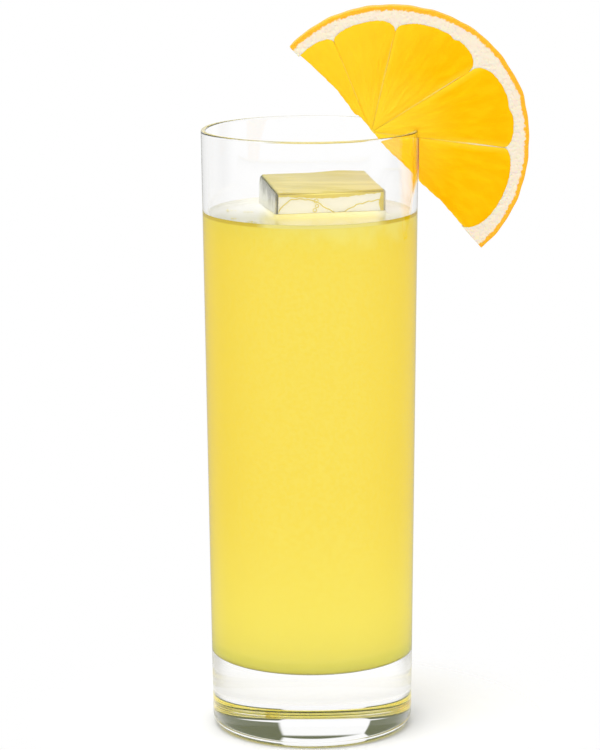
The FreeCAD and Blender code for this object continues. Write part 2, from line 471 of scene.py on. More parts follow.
def melted_edge(along, depth):
    """1 where the front's upper edge has melted clear: above a sagging line, and at one end."""
    line = np.interp(along, SAG_ALONG, SAG_DEPTH)
    line = line + 0.08 * np.sin(1.7 * along) + 0.05 * np.sin(4.3 * along)
    above = np.clip((line + 0.12 - depth) / 0.24, 0, 1)
    end = CLEAR_END + 0.25 * np.sin(1.3 * depth)
    return np.maximum(above, np.clip((along - end) / 0.3, 0, 1))


def quarter_turned(points, times):
    """Points turned about the block's axis, by a quarter turn at a time: (x, y) to (y, -x)."""
    for _ in range(times):
        points = np.concatenate([points[..., 1:2], -points[..., 0:1], points[..., 2:]], axis=-1)
    return points


def side_sheet(times, edge_gap, columns=60, rows=40):
    """Thin closed sheet under one side of the block: columns along the side, each a loop down
    the sheet's outer face and up its inner face. It is made for the front, then turned."""
    sizes = (ICE_TOP_WIDTH, ICE_TOP_DEPTH)
    length, across = reversed(sizes) if times % 2 else sizes
    half_length = length / 2 - edge_gap
    along = np.linspace(-half_length, half_length, columns)[:, None]
    down = np.linspace(FROST_EDGE, FROST_DEPTH, rows)[None, :]
    near = np.zeros((columns, rows)) if times else crack_nearness(along, down)
    draft = down * tan(radians(ICE_DRAFT_DEG))
    out = across / 2 + draft + 0 * along - FROST_INSET - GROOVE_DEPTH * near
    spot = quarter_turned(np.stack([along + 0 * out, -out], axis=-1), times)
    out = out + MELT_FOLLOWED * melt(spot, down)
    outer = np.stack([along + 0 * out, -out, -down + 0 * out], axis=-1)
    inner = outer[:, ::-1] + [0, FROST_THICKNESS, 0]
    loops = quarter_turned(np.concatenate([outer, inner], axis=1), times)
    if not times:
        near = np.maximum(near, melted_edge(along, down))
    values = np.concatenate([near, near[:, ::-1]], axis=1)
    depths = np.broadcast_to(np.concatenate([down, down[:, ::-1]], axis=1), values.shape)
    return into_place(loops), {"crack_and_painted_edge": values, "depth": depths}


# %% The sheet under the top, and the cloudy heart
CORE_INSET = 1.0
CORE_TOP = 2.4
CORE_VALUE = 5.0
PAINTED_EDGE_WIDTH = 0.55


def top_sheet(columns=90, rows=60):
    """Thin closed sheet under the block's top: columns from left to right, each a loop over the
    sheet's upper face and back along its lower face."""
    half_width = ICE_TOP_WIDTH / 2 - FROST_EDGE
    half_depth = ICE_TOP_DEPTH / 2 - FROST_EDGE
    along = np.linspace(-half_width, half_width, columns)[:, None]
    back = np.linspace(half_depth, -half_depth, rows)[None, :]
    spread = np.stack([along + 0 * back, back + 0 * along], axis=-1)
    height = crown(spread) - FROST_INSET
    upper = np.concatenate([spread, height[..., None]], axis=-1)
    lower = upper[:, ::-1] - [0, 0, FROST_THICKNESS]
    across = np.concatenate([spread[..., 1], spread[:, ::-1, 1]], axis=1)
    from_front = across + ICE_TOP_DEPTH / 2 - FROST_EDGE
    # painted light: a yellow line along the sheet's front edge, kept as its crack value
    edge = np.exp(-((from_front / PAINTED_EDGE_WIDTH) ** 2))
    rings = into_place(np.concatenate([upper, lower], axis=1))
    return rings, {"crack_and_painted_edge": edge, "depth": ICE_TOP_DEPTH / 2 - across}


def cloudy_heart():
    """Rings of the heart: the block's own shape drawn in, as far down as its frost."""
    low = at_depth(ice_ring(FROST_DEPTH, CORE_INSET), FROST_DEPTH)
    rings = [low * [scale, scale, 1.0] for scale in np.linspace(MIDDLE_SHARE, EDGE_SHARE, 6)]
    for depth in np.linspace(FROST_DEPTH, CORE_TOP, 8):
        rings.append(at_depth(ice_ring(depth, CORE_INSET), depth))
    for scale in np.linspace(1.0, MIDDLE_SHARE, 16):
        ring = ice_ring(CORE_INSET, CORE_INSET) * scale
        rings.append(np.column_stack([ring, crown(ring, CORE_INSET)]))
    rings = into_place(np.array(rings))
    plain = np.zeros(rings.shape[:2])
    return rings, {"crack_and_painted_edge": plain, "depth": plain + CORE_VALUE}


# %% [markdown]
# ## The frost's colour
# Trapped air is white where there is much of it. Each face is painted darker towards its top,
# which is painted shade, and the top sheet takes the drink's yellow, darker towards its front edge,
# which is painted light from the drink under the ice. Each sheet keeps two values at its points,
# the nearness of a crack (on the top sheet a painted line of light along its front edge) and the
# depth down the face, so one small finish paints them all and only its two colours differ.

# %% Frosted pieces
CRACK_AND_PAINTED_EDGE_YELLOW = (0.84, 0.72, 0.16, 1.0)


def frost_finish(name, shaded_top_colour, low_colour, fade_depth, streaks):
    """White trapped air, with painted shade that changes from the top of the face downwards in
    uneven streaks, and the drink's yellow in the cracks."""
    made, tree, shader = new_finish(name, Roughness=0.6, IOR=ICE_INDEX)
    drawn_out = add(tree, "Mapping", {"Vector": object_place(tree), "Scale": (0.25, 1.6, 1.0)})
    numbers = {"Vector": drawn_out.outputs["Vector"], "Scale": 220.0, "Detail": 3.0}
    streak = add(tree, "TexNoise", numbers).outputs["Fac"]
    reach = streaks * fade_depth
    uneven = remap(tree, streak, 0.3, 0.7, -reach, reach)
    level = calculate(tree, "ADD", kept_value(tree, "depth"), uneven)
    # painted shade: the first colour lies at the top of the face and gives way to the second lower
    # down
    face = mix_colours(tree, remap(tree, level, 0.6, fade_depth), shaded_top_colour, low_colour)
    line = remap(tree, kept_value(tree, "crack_and_painted_edge"), 0.25, 0.75)
    tree.links.new(mix_colours(tree, line, face, CRACK_AND_PAINTED_EDGE_YELLOW), shader.inputs["Base Color"])
    return made


front_finish = frost_finish("frosted_ice_front", (0.97, 0.97, 0.95, 1.0), WHITE, 2.0, 0.5)
# painted shade: the left face dark grey at its top, pale lower down
side_painted_shade_finish = frost_finish(
    "frosted_ice_side_painted_shade", (0.30, 0.30, 0.22, 1.0), (0.85, 0.85, 0.76, 1.0), 5.5, 0.25
)
# painted shade: the back, right and heart sheets grey at their top, nearly white lower down
pale_painted_shade_finish = frost_finish(
    "frosted_ice_pale_painted_shade", (0.80, 0.81, 0.76, 1.0), (0.95, 0.95, 0.92, 1.0), 4.0, 0.3
)
# painted light: the top sheet takes the drink's yellow seen through the ice, darker towards its front
# edge
top_painted_light_finish = frost_finish(
    "frosted_ice_top_painted_light", (0.80, 0.71, 0.12, 1.0), (0.95, 0.85, 0.23, 1.0), 24.0, 0.45
)
for name, part, finish in (
    ("frost_front", side_sheet(0, 0.7, 240, 72), front_finish),
    ("frost_side", side_sheet(1, 0.9), side_painted_shade_finish),
    ("frost_back", side_sheet(2, 0.9), pale_painted_shade_finish),
    ("frost_right", side_sheet(3, 1.6), pale_painted_shade_finish),
    ("frost_core", cloudy_heart(), pale_painted_shade_finish),
    ("frost_top", top_sheet(), top_painted_light_finish),
):
    place(skin(name, part), finish, "ice", "ice_cube")

# %% [markdown]
# ## The drink
# Orange juice and spirit make a cloudy liquid that wets whatever it touches, so its surface climbs
# the glass and the ice in a small curve, the meniscus. The liquid is one closed skin: along the
# floor, up the wall, in across the surface, and down round the ice. It reaches a hair's breadth
# into the glass, so that no film of air shows between them, and the same into the ice.

# %% One skin from the floor to the pocket under the ice
REACH = 0.15
ICE_REACH = 0.1
DRINK_EDGE = drink_high[2]
WALL_RISE = 0.9
DRINK_LEVEL = DRINK_EDGE - WALL_RISE
ICE_RISE = 1.0
RISE_LENGTH = 0.75
FIRST_GUESS = 8.0


def pocket_ring(depth):
    """Ring of the pocket, a little inside the ice, upright; depth may differ round the ring."""
    half_width, half_depth = ICE_TOP_WIDTH / 2, ICE_TOP_DEPTH / 2
    shallow, normals = rectangle_outline(half_width, half_depth, ICE_EDGE_RADIUS)
    draft = depth * tan(radians(ICE_DRAFT_DEG))
    outline = shallow + np.sign(shallow) * draft[:, None]
    moved = outline + normals * (melt(outline, depth) - ICE_REACH)[:, None]
    return at_depth(moved, depth)


def contact_depth(height):
    """Depth under the block's top, at each place round it, where its side is at a height."""
    depth = np.full(OUTLINE_POINTS, FIRST_GUESS)
    for _ in range(6):
        depth = depth + into_place(pocket_ring(depth))[:, 2] - height
    return depth


def drink_rings():
    """Rings of the drink, all with one point in each direction from the ice's centre."""
    contact = contact_depth(DRINK_LEVEL + ICE_RISE)
    ice_edge = into_place(pocket_ring(contact))
    middle = ice_edge.mean(axis=0)
    angle = np.arctan2(ice_edge[:, 1] - middle[1], ice_edge[:, 0] - middle[0])
    around = np.stack([np.cos(angle), np.sin(angle)], axis=-1)

    wall = at(bore_radius(DRINK_EDGE) + REACH, DRINK_EDGE)
    floor = bore_floor(REACH)
    side = np.vstack([floor, straight(floor[-1], wall, 30), wall])
    rings = [np.column_stack([around * radius, np.full(len(around), z)]) for radius, z in side]

    shore = around * bore_radius(DRINK_EDGE)
    gap = np.linalg.norm(ice_edge[:, :2] - shore, axis=1)
    steps = np.r_[0, np.geomspace(0.12, 4.0, 12)]
    near_wall = np.minimum(steps[:, None], gap * steps[:, None] / 8.5)
    near_ice = gap - near_wall[::-1]
    share = np.linspace(0, 1, 10)[1:-1, None]
    between = near_wall[-1] * (1 - share) + near_ice[0] * share
    for distance in np.vstack([near_wall, between, near_ice]):
        part = (distance / gap)[:, None]
        spot = shore * (1 - part) + ice_edge[:, :2] * part
        rise = WALL_RISE * np.exp(-distance / RISE_LENGTH)
        rise = rise + ICE_RISE * np.exp(-(gap - distance) / RISE_LENGTH)
        rings.append(np.column_stack([spot, DRINK_LEVEL + rise]))

    for share in np.linspace(0, 1, 26)[1:]:
        depth = contact * (1 - share) + (ICE_HEIGHT - ICE_EDGE_RADIUS) * share
        rings.append(into_place(pocket_ring(depth)))
    bottom = pocket_ring(np.full(len(contact), ICE_HEIGHT - ICE_EDGE_RADIUS))
    for turn in np.linspace(0, pi / 2, 6)[1:]:
        inset = 1 - ICE_EDGE_RADIUS * (1 - cos(turn)) / (ICE_TOP_DEPTH / 2)
        lower = bottom * [inset, inset, 1.0]
        lower[:, 2] -= (ICE_EDGE_RADIUS - ICE_REACH) * sin(turn)
        rings.append(into_place(lower))
    for scale in (0.7, 0.4, 0.1, 0.01):
        rings.append(into_place(lower * [scale, scale, 1.0]))
    return np.array(rings)


drink_skin = skin("drink_body", (drink_rings(), {}))

# %% [markdown]
# ## The drink's colour
# Juice scatters light inside itself. Real scattering could be worked out with a volume or with
# subsurface light, but behind clear glass that is slow and grainy, and an opaque skin with fine
# flecks looks the same. Light and shade are then painted in by place: painted shade at the left
# and right, painted light low down and on the rounded corner above the floor, a painted glow
# under the melting ice, painted light and shade on the open surface, a painted shade line on the
# meniscus and painted shade on the floor itself. Each pair of numbers is a stretch, in metres on
# the object, over which one colour gives way to another.

# %% Colours of the drink
DRINK_DEEP = (0.985, 0.86, 0.085, 1.0)
DRINK_FLECK = (0.99, 0.885, 0.12, 1.0)
# painted shade: the drink darker towards its left and right sides
DRINK_SIDES_PAINTED_SHADE = (0.975, 0.83, 0.045, 1.0)
# painted light: the drink paler just under the melting ice, as a glow
DRINK_PAINTED_GLOW = (0.995, 0.94, 0.25, 1.0)
# painted light: the drink paler low down
DRINK_LOW_PAINTED_LIGHT = (0.995, 0.93, 0.19, 1.0)
# painted light: the rounded corner above the floor lit to its edge
DRINK_CORNER_PAINTED_LIGHT = (1.0, 0.95, 0.18, 1.0)
DRINK_SHADED = (0.20, 0.20, 0.05, 1.0)
# painted light and shade of the open surface: painted shade beside the ice, a painted reflection at
# the back, and a dull yellow in front of the ice
SURFACE_SIDES_PAINTED_SHADE = (0.58, 0.57, 0.36, 1.0)
SURFACE_BACK_PAINTED_REFLECTION = (0.85, 0.845, 0.76, 1.0)
SURFACE_FRONT_LIGHT_AND_SHADE = (0.82, 0.73, 0.25, 1.0)
# painted shade: a dark yellow line where the drink climbs the wall and the ice; painted light: the
# same line pale in front of the ice
MENISCUS_PAINTED_SHADE = (0.76, 0.60, 0.015, 1.0)
MENISCUS_PAINTED_GLOW = (0.975, 0.92, 0.34, 1.0)

# %% Where the colours give way to each other
SIDEWAYS_OUT = (0.008, 0.028)
UNDER_ICE = (-0.014, 0.000)
PAINTED_GLOW_UP = (0.140, 0.1465)
SWIRL = 0.0025
LOW_DOWN = (0.075, 0.022)
ICE_MIDDLE = 0.003
BESIDE_ICE = (0.014, 0.018)
BEHIND_ICE = (-0.012, 0.010)
CORNER_DOWN = (0.0275, 0.0215)
CORNER_OUT = (0.0235, 0.0255)
FLOOR_DOWN = (0.0212, 0.0205)
FLOOR_IN = (0.0255, 0.0235)
SURFACE_UP = (0.1455, 0.1458)
OFF_WALL = (0.02842, 0.02834)
BACK_HALF = (0.0, 0.006)
CLIMB_UP = (0.1457, 0.1461)
FRONT_HALF = (0.002, -0.004)
ON_WALL = (0.02834, 0.02842)

# %% Cloudy orange drink
cloudy_drink, tree, shader = new_finish("cloudy_orange_drink", Roughness=0.12, IOR=1.34)
here = object_place(tree)
x, y, z = add(tree, "SeparateXYZ", {0: here}).outputs
square = calculate(tree, "ADD", calculate(tree, "MULTIPLY", x, x), calculate(tree, "MULTIPLY", y, y))
radius = calculate(tree, "SQRT", square)
numbers = {"Vector": here, "Scale": 900.0, "Detail": 3.0, "Roughness": 0.6}
cloud = add(tree, "TexNoise", numbers).outputs["Fac"]
swirl = add(tree, "TexNoise", {"Vector": here, "Scale": 140.0, "Detail": 3.0}).outputs["Fac"]
drawn_down = calculate(tree, "ADD", z, remap(tree, swirl, 0.3, 0.7, -SWIRL, SWIRL))
painted_glow = remap(tree, drawn_down, *PAINTED_GLOW_UP)
off_ice = calculate(tree, "ABSOLUTE", calculate(tree, "SUBTRACT", x, ICE_MIDDLE))
beside_ice = remap(tree, off_ice, *BESIDE_ICE)
surface_light_and_shade = mix_colours(tree, beside_ice, SURFACE_FRONT_LIGHT_AND_SHADE, SURFACE_SIDES_PAINTED_SHADE)
surface_light_and_shade = mix_colours(tree, remap(tree, y, *BEHIND_ICE), surface_light_and_shade, SURFACE_BACK_PAINTED_REFLECTION)
meniscus_light_and_shade = mix_colours(tree, beside_ice, MENISCUS_PAINTED_GLOW, MENISCUS_PAINTED_SHADE)
top_half = calculate(tree, "MAXIMUM", remap(tree, radius, *OFF_WALL), remap(tree, y, *BACK_HALF))
# painted light and shade laid over the drink's own colour, one layer at a time
layers = (
    ((remap(tree, calculate(tree, "ABSOLUTE", x), *SIDEWAYS_OUT, 0.0, 0.7),), DRINK_SIDES_PAINTED_SHADE),
    ((painted_glow, remap(tree, x, *UNDER_ICE), 0.75), DRINK_PAINTED_GLOW),
    ((remap(tree, z, *LOW_DOWN, 0.0, 0.7),), DRINK_LOW_PAINTED_LIGHT),
    ((remap(tree, z, *CORNER_DOWN), remap(tree, radius, *CORNER_OUT)), DRINK_CORNER_PAINTED_LIGHT),
    ((remap(tree, z, *FLOOR_DOWN), remap(tree, radius, *FLOOR_IN)), DRINK_SHADED),
    ((remap(tree, z, *SURFACE_UP), top_half), surface_light_and_shade),
    (
        (remap(tree, z, *CLIMB_UP), remap(tree, y, *FRONT_HALF), remap(tree, radius, *ON_WALL)),
        meniscus_light_and_shade,
    ),
)
colour = mix_colours(tree, remap(tree, cloud, 0.35, 0.65), DRINK_DEEP, DRINK_FLECK)
for shares, paint in layers:
    share = calculate(tree, "MULTIPLY", *shares) if len(shares) > 1 else shares[0]
    colour = mix_colours(tree, share, colour, paint)
tree.links.new(colour, shader.inputs["Base Color"])
place(drink_skin, cloudy_drink, "drink", "drink")
print("layers of colour on the drink:", len(layers) + 1)

# %% [markdown]
# ## Bubbles on the surface
# Pouring leaves a few tiny bubbles that gather near the wall. Each is a small round skin that sits
# in the surface. Spheres could be scattered with geometry nodes, but for so few bubbles one joined
# skin is plainer, and their places stay the same every time.

# %% A few bubbles
BUBBLE_GROUPS = ((-22.3, 4.0, 5), (-16.6, 1.5, 4), (-20.0, -9.5, 4), (-14.6, -17.2, 5))
BUBBLE_SPREAD = 0.9
BUBBLE_RADII = (0.18, 0.36)
BUBBLE_LIFT = 0.3
BUBBLE_INDEX = 1.2


def ball_rings(spot, radius):
    """Rings of a small sphere about a spot, from its lowest to its highest point."""
    rise = np.linspace(-pi / 2, pi / 2, 12)[1:-1, None]
    turn = np.linspace(0, 2 * pi, 16, endpoint=False)[None, :]
    ball = [np.cos(rise) * np.cos(turn), np.cos(rise) * np.sin(turn), np.sin(rise) + 0 * turn]
    return np.array(spot) + radius * np.stack(ball, axis=-1)


chance = np.random.default_rng(5)
balls = []
for group_x, group_y, count in BUBBLE_GROUPS:
    for _ in range(count):
        shift_x, shift_y = chance.normal(0, BUBBLE_SPREAD, 2) * (1.0, 0.5)
        radius = chance.uniform(*BUBBLE_RADII)
        spot = (group_x + shift_x, group_y + shift_y, DRINK_LEVEL + BUBBLE_LIFT * radius)
        balls.append((ball_rings(spot, radius), {}))
bubble_film = clear_finish("bubble_film", BUBBLE_INDEX, (0.98, 0.93, 0.62, 1.0))
place(skin("surface_bubbles", *balls), bubble_film, "drink", "drink")

# %% [markdown]
# ## The orange slice
# A wheel of orange is peel, white pith, and segments of juice sacs held in thin skins that all
# meet near the middle. A flat picture on a disc would look printed, so each segment is its own
# soft pillow, and the pith is a ring whose inner edge follows the segments' lobes. Positions are
# first worked out flat, along the cut edge and out from the wheel's centre, and then carried to
# the tilted slice.

# %% From the flat wheel to the tilted slice
SLICE_CENTRE = (22.4, 165.7)
CUT_SLOPE = radians(46.6)
CUT_OFFSET = 2.0
HALF_THICK = box_mm("orange_pith")[1][1]
WHEEL_RADIUS = 38.0
PITH_RADIUS = 34.0
CORE = np.array([-5.9, -CUT_OFFSET])
CHORD_SPOT = np.array([0.0, -CUT_OFFSET])
SEGMENTS = [
    (-24.0, 14.0, 34.7, 30.0, 31.4),
    (14.0, 45.5, 33.9, 31.4, 30.0),
    (45.5, 91.0, 33.7, 30.0, 28.3),
    (91.0, 136.0, 34.2, 28.3, 30.4),
    (136.0, 185.0, 34.0, 30.4, 26.5),
]
LOBE_SQUARENESS = 2.7
SMALL_NOTCHES = ((74.5, 1.6, 0.6), (117.0, 3.0, 0.5))


def tilted(flat, y):
    """Points of the flat wheel, (along, out), and their y, in the glass's own directions."""
    along, out = flat[..., 0], flat[..., 1]
    x = SLICE_CENTRE[0] + along * cos(CUT_SLOPE) + out * sin(CUT_SLOPE)
    z = SLICE_CENTRE[1] - along * sin(CUT_SLOPE) + out * cos(CUT_SLOPE)
    return np.stack([x, np.broadcast_to(y, x.shape), z], axis=-1)


def flat_of(x, z):
    """Flat position on the wheel of a point given in the glass's directions."""
    dx, dz = x - SLICE_CENTRE[0], z - SLICE_CENTRE[1]
    along = dx * cos(CUT_SLOPE) - dz * sin(CUT_SLOPE)
    return np.array([along, dx * sin(CUT_SLOPE) + dz * cos(CUT_SLOPE)])


def on_wheel(radius, angle_deg):
    """Flat point at a radius and an angle from the slice's upper tip."""
    angle = np.radians(angle_deg)
    return np.stack([-radius * np.cos(angle), radius * np.sin(angle)], axis=-1)


def peel_radius(angle_deg):
    """Outer radius: a circle with low waves, one bump, a fuller lower part and unevenness."""
    angle = np.radians(angle_deg)
    bump = 0.6 / (1 + ((angle_deg - 113.0) / 8.0) ** 2)
    uneven = 0.06 * np.sin(angle * 23 + 1.0) + 0.05 * np.sin(angle * 41 + 2.0)
    lower = 0.25 / (1 + np.exp((120.0 - angle_deg) / 4.0))
    return WHEEL_RADIUS + 0.33 * np.cos(angle * 4) + bump + lower + uneven


def lobe_radius(angle_deg, segment):
    """Outer radius of a segment: a superellipse from notch to notch, with small dips."""
    start, end, top, start_notch, end_notch = segment
    share = np.clip((angle_deg - start) / (end - start), 0, 1)
    notch = start_notch + (end_notch - start_notch) * share
    fall = np.abs(2 * share - 1) ** LOBE_SQUARENESS
    radius = notch + (top - notch) * (1 - fall) ** (1 / LOBE_SQUARENESS)
    for place_deg, width_deg, depth in SMALL_NOTCHES:
        radius = radius - depth * np.exp(-(((angle_deg - place_deg) / width_deg) ** 2))
    return radius


def pith_inner_radius(angle_deg):
    """Inner edge of the pith: each direction takes the lobe of its own segment."""
    starts = np.array([segment[0] for segment in SEGMENTS])
    which = np.clip(np.searchsorted(starts, angle_deg) - 1, 0, len(SEGMENTS) - 1)
    radii = np.array([lobe_radius(angle_deg, segment) for segment in SEGMENTS])
    return radii[which, np.arange(len(angle_deg))]


print("half the slice's thickness:", round(HALF_THICK, 2), "mm; segments:", len(SEGMENTS))


# %% Soft noise for uneven surfaces
def soft_noise(x, y, seed):
    """Smooth noise from -1 to 1: random numbers on a lattice, eased between neighbours."""
    table = np.random.default_rng(seed).uniform(-1, 1, (64, 64))
    column, row = np.floor(x).astype(int), np.floor(y).astype(int)
    u, v = x - column, y - row
    u, v = u * u * (3 - 2 * u), v * v * (3 - 2 * v)
    left, right = column % 64, (column + 1) % 64
    low, high = row % 64, (row + 1) % 64
    bottom = table[low, left] * (1 - u) + table[low, right] * u
    top = table[high, left] * (1 - u) + table[high, right] * u
    return bottom * (1 - v) + top * v


# %% [markdown]
# ## Peel and pith
# The ring's cross-section is a rounded rectangle from the segments out to the skin. It is carried
# round the half wheel and slid along the straight cut at both ends. Each point keeps how deep it
# lies under the skin, so that one material can be oily peel outside and spongy pith inside.

# %% The ring of peel and pith
RING_STEPS = 460
FACE_STEPS = 22
PEEL_ROUNDING = 0.2


def ring_section():
    """Closed section of the ring: share from inner (0) to outer (1) edge, and y from -1 to 1."""
    front = np.linspace(0, 1, FACE_STEPS)
    bend = np.linspace(-1, 1, 9)[1:-1]
    share = np.concatenate([front, np.ones(len(bend)), front[::-1], np.zeros(len(bend))])
    side = np.concatenate([-np.ones(FACE_STEPS), bend, np.ones(FACE_STEPS), -bend])
    return share, side


def peel_and_pith():
    """Rings of the section carried round the half wheel, with the grain and the depth."""
    share, side = ring_section()
    turn = np.linspace(0, 1, RING_STEPS)[:, None]
    reach = PITH_RADIUS + (WHEEL_RADIUS - PITH_RADIUS) * share
    slant = np.degrees(np.arcsin(CUT_OFFSET / reach))
    angle = turn * 180 + (2 * turn - 1) * slant
    inner = pith_inner_radius(angle.ravel()).reshape(angle.shape)
    outer = peel_radius(angle)
    radius = inner + (outer - inner) * share
    depth = outer - radius
    from_edge = np.minimum(depth, PEEL_ROUNDING) / PEEL_ROUNDING
    drop = PEEL_ROUNDING * (1 - np.sqrt(1 - (1 - from_edge) ** 2))
    sponge = 0.07 * soft_noise(angle * 1.1, radius * 1.7, 3) * (side**2 >= 1)
    y = side * (HALF_THICK - drop + sponge)
    edge_tuck = 0.12 * side**2 * (share >= 1)
    flat = on_wheel(radius - edge_tuck, angle)
    grain = np.stack([np.radians(angle) * WHEEL_RADIUS, depth, y], axis=-1)
    values = {"grain": grain[:, ::-1], "depth": depth[:, ::-1], "web": 0 * depth}
    return tilted(flat, y)[:, ::-1], values


# %% [markdown]
# ## Segments and their skins
# A segment's outline runs from the core along one membrane, round the lobe under the pith and back
# along the next membrane. Kept as a distance in each direction from a point inside it, it can be
# trimmed by a straight cut with one comparison. The pillow then swells gently from that outline,
# with the ridges of the juice sacs pointing at the core.

# %% Outlines kept as a distance in each direction
TUCK = 0.12
TINY = 1e-9
SIDEWAYS = np.array([cos(CUT_SLOPE), sin(CUT_SLOPE)])
CUT_NORMAL = np.array([0.0, -1.0])
DRIED_ALONG = np.array(
    [-38.0, -33.0, -22.0, -18.8, -13.0, -10.8, -8.0, -3.4, 0.0, 8.8, 14.0, 21.6, 27.0, 38.0]
)
DRIED_BACK = np.array([0.1, 0.8, 1.25, 1.05, 0.25, 0.7, 0.7, 0.2, 0.0, 0.5, 0.3, 0.9, 0.6, 0.2])


def segment_outline(segment):
    """Flat closed outline: core, first side, lobe, last side."""
    start, end = segment[:2]
    ease = (1 - np.cos(np.linspace(0, pi, 90))) / 2
    angle = start + (end - start) * ease
    lobe = on_wheel(lobe_radius(angle, segment) + TUCK, angle)
    share = np.linspace(0, 1, 60)[1:-1, None]
    first_side = CORE + (lobe[0] - CORE) * share
    last_side = lobe[-1] + (CORE - lobe[-1]) * share
    return np.vstack([CORE, first_side, lobe, last_side])


def distances(outline, centre, headings):
    """Distance from a centre to an outline in each heading, by crossing each of its edges."""
    a = outline - centre
    b = np.roll(a, -1, axis=0)
    direction = np.stack([np.cos(headings), np.sin(headings)], axis=-1)
    edge = b - a
    cross = direction[:, None, 0] * edge[:, 1] - direction[:, None, 1] * edge[:, 0]
    cross = np.where(np.abs(cross) < 1e-12, 1e-12, cross)
    along = (a[:, 0] * edge[:, 1] - a[:, 1] * edge[:, 0]) / cross
    where_on = (a[:, 0] * direction[:, None, 1] - a[:, 1] * direction[:, None, 0]) / cross
    hit = (along > 0) & (where_on >= -TINY) & (where_on <= 1 + TINY)
    return np.where(hit, along, np.inf).min(axis=1)


def line_distances(centre, headings, point, normal):
    """Distance from a centre to a straight cut through a point, on the side its normal faces."""
    speed = np.cos(headings) * normal[0] + np.sin(headings) * normal[1]
    gap = (point - centre) @ normal
    return np.where(speed > TINY, gap / np.maximum(speed, TINY), np.inf)


def chord_distances(centre, headings):
    """Distance to the straight cut, whose dried flesh has drawn back unevenly."""
    reach = line_distances(centre, headings, CHORD_SPOT, CUT_NORMAL)
    speed = -np.sin(headings)
    for _ in range(3):
        along = centre[0] + np.cos(headings) * np.minimum(reach, 80.0)
        back = np.interp(along, DRIED_ALONG, DRIED_BACK)
        back = back + 0.10 * np.sin(1.9 * along) * np.sin(0.7 * along)
        gap = np.maximum(centre[1] + CUT_OFFSET - back, 0.05)
        reach = np.where(speed > TINY, gap / np.maximum(speed, TINY), np.inf)
    return reach


# %% [markdown]
# ## Pillows of pulp
# A cut segment isn't flat: its sacs stand proud of the membranes and its rim is a little rounded.
# A subdivided cage could give that, but its ridges would have to be sculpted. Here each pillow is
# a set of outlines scaled from a point inside, so its relief is one sum on the whole array. Each
# point keeps its distance and direction from the core as its grain, for the pattern of the sacs.

# %% Pillows of pulp
EDGE_BEND = 0.12
BEND_STEPS = 6
GRAIN_RADIUS = 14.0


def bend_rows(half_thick, inner_rows):
    """Rows of a pillow from the middle of its front to the middle of its back: how much of the
    outline's distance, how far drawn in at the edge, and the y."""
    turn = np.linspace(0, pi / 2, BEND_STEPS)[1:]
    spread = np.linspace(MIDDLE_SHARE, 1.0, inner_rows)
    draw = np.concatenate([np.full(inner_rows, EDGE_BEND), EDGE_BEND * (1 - np.sin(turn))])
    rise = np.concatenate([np.zeros(inner_rows), EDGE_BEND * (1 - np.cos(turn))])
    share = np.concatenate([spread, np.ones(len(turn))])
    y = -half_thick + rise
    return [np.concatenate([row, sign * row[::-1]]) for row, sign in ((share, 1), (draw, 1), (y, -1))]


def sac_relief(flat):
    """Ridges of the juice sacs: noise drawn out along lines from the core."""
    away = flat - CORE
    far = np.hypot(away[..., 0], away[..., 1])
    turn = np.arctan2(away[..., 1], away[..., 0])
    long_sacs = soft_noise(turn * 16.0 + 40, far * 0.22, 7)
    fine = soft_noise(turn * 30.0 + 40, far * 0.42, 11)
    fade = np.clip(far / 6.0, 0, 1)
    return fade * (0.16 * long_sacs + 0.10 * fine), far, turn


def pillow(outline, centre, cuts=(), directions=360, rows=40, dome=0.35, relief=0.55):
    """Closed pillow on an outline: distances from a centre, trimmed by straight cuts, with a
    rounded edge; gives its rings and its grain."""
    headings = -np.linspace(0, 2 * pi, directions, endpoint=False)
    reach = np.minimum(distances(outline, centre, headings), chord_distances(centre, headings))
    for point, normal in cuts:
        reach = np.minimum(reach, line_distances(centre, headings, point, normal))
    share, draw, y = bend_rows(HALF_THICK, rows)
    distance = share[:, None] * np.maximum(reach - draw[:, None], reach * 0.3)
    flat = centre + distance[..., None] * np.stack([np.cos(headings), np.sin(headings)], axis=-1)
    ridges, far, turn = sac_relief(flat)
    face = np.clip((1 - share[:, None]) / 0.25, 0, 1) ** 0.5
    lift = face * dome + relief * ridges * (0.35 + 0.65 * face)
    flat_part = np.abs(y)[:, None] > HALF_THICK - 0.2
    depth = y[:, None] + np.sign(y)[:, None] * lift * flat_part
    return tilted(flat, depth), np.stack([far, turn * GRAIN_RADIUS, depth], axis=-1)


def side_nearness(segment, grain):
    """How near a point lies to a membrane: 0.75 on it, 0 from 1.8 mm away."""
    start, end, _, start_notch, end_notch = segment
    values = []
    for angle_deg, notch in ((start, start_notch), (end, end_notch)):
        tip = on_wheel(notch, angle_deg) - CORE
        heading = np.arctan2(tip[1], tip[0])
        values.append(np.abs(np.sin(grain[..., 1] / GRAIN_RADIUS - heading)) * grain[..., 0])
    return 0.75 * np.clip(1 - np.minimum(*values) / 1.8, 0, 1)


# %% [markdown]
# ## The pulp's finish
# Fresh pulp is wet, lets some light in, and is paler near the core and along the membranes.
# Towards the upper tip it is painted paler still, which is painted light where the lamp falls on
# it. A flat colour would look like plastic, so noise drawn out along the grain makes the sacs, and
# a fine cell pattern gives each a slight bump.

